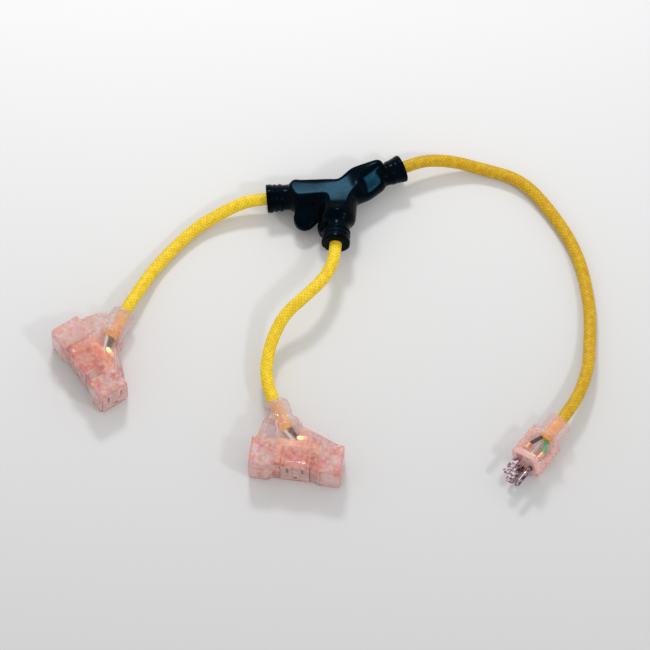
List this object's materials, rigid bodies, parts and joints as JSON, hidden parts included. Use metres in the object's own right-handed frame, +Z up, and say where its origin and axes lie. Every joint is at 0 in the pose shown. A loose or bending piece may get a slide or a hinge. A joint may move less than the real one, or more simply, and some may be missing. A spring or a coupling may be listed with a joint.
{
  "type": "branching extension cord",
  "caption": "Short branching extension cord: a clear grounded plug feeds clear multi-outlet taps with a power lamp, through a black moulded hub and round yellow cords.",
  "frame": {"origin": "centre of the footprint of the plug, hub and taps, on the floor that the set lies on", "axes": "+Z up from the floor; +X from the left tap towards the plug; +Y away from the viewer, towards the hub"},
  "size_m": [0.4601, 0.3181, 0.0364],
  "materials": {
    "clear_cover": "clear salmon-tinted moulded PVC",
    "outlet_face": "clear moulded insert",
    "hub_black": "glossy black overmould",
    "cord_yellow": "satin yellow jacket",
    "jacket_orange": "jacket end seen through the cover",
    "wire_black": "wire insulation",
    "wire_white": "wire insulation",
    "wire_green": "wire insulation",
    "contact_brass": "stamped contact strip",
    "blade_metal": "nickel-plated",
    "crimp_copper": "tinned copper sleeve",
    "carrier_white": "moulded",
    "lamp_glass": "neon lamp, lit when powered",
    "lead_metal": "bare tinned lead",
    "resistor_tan": "small film resistor"
  },
  "bodies": {
    "root": {"front_cord": "cord_yellow", "front_tap_cover": "clear_cover", "front_tap_front_outlet": "outlet_face", "front_tap_ground_strip": "contact_brass", "front_tap_ground_wire": "wire_green", "front_tap_hot_strip": "contact_brass", "front_tap_hot_wire": "wire_black", "front_tap_jacket_end": "jacket_orange", "front_tap_lamp": "lamp_glass", "front_tap_lamp_lead": "lead_metal", "front_tap_lamp_resistor": "resistor_tan", "front_tap_left_outlet": "outlet_face", "front_tap_neutral_strip": "contact_brass", "front_tap_neutral_wire": "wire_white", "front_tap_right_outlet": "outlet_face", "hub_cover": "hub_black", "hub_front_jacket_end": "jacket_orange", "hub_ground_splice": "crimp_copper", "hub_ground_wires": "wire_green", "hub_hot_splice": "crimp_copper", "hub_hot_wires": "wire_black", "hub_left_jacket_end": "jacket_orange", "hub_neutral_splice": "crimp_copper", "hub_neutral_wires": "wire_white", "hub_supply_jacket_end": "jacket_orange", "left_cord": "cord_yellow", "left_tap_cover": "clear_cover", "left_tap_front_outlet": "outlet_face", "left_tap_ground_strip": "contact_brass", "left_tap_ground_wire": "wire_green", "left_tap_hot_strip": "contact_brass", "left_tap_hot_wire": "wire_black", "left_tap_jacket_end": "jacket_orange", "left_tap_lamp": "lamp_glass", "left_tap_lamp_lead": "lead_metal", "left_tap_lamp_resistor": "resistor_tan", "left_tap_left_outlet": "outlet_face", "left_tap_neutral_strip": "contact_brass", "left_tap_neutral_wire": "wire_white", "left_tap_right_outlet": "outlet_face", "plug_blade_carrier": "carrier_white", "plug_cover": "clear_cover", "plug_ground_crimp": "crimp_copper", "plug_ground_pin": "blade_metal", "plug_ground_wire": "wire_green", "plug_hot_blade": "blade_metal", "plug_hot_crimp": "crimp_copper", "plug_hot_wire": "wire_black", "plug_jacket_end": "jacket_orange", "plug_neutral_blade": "blade_metal", "plug_neutral_crimp": "crimp_copper", "plug_neutral_wire": "wire_white", "supply_cord": "cord_yellow"}
  },
  "joints": []
}
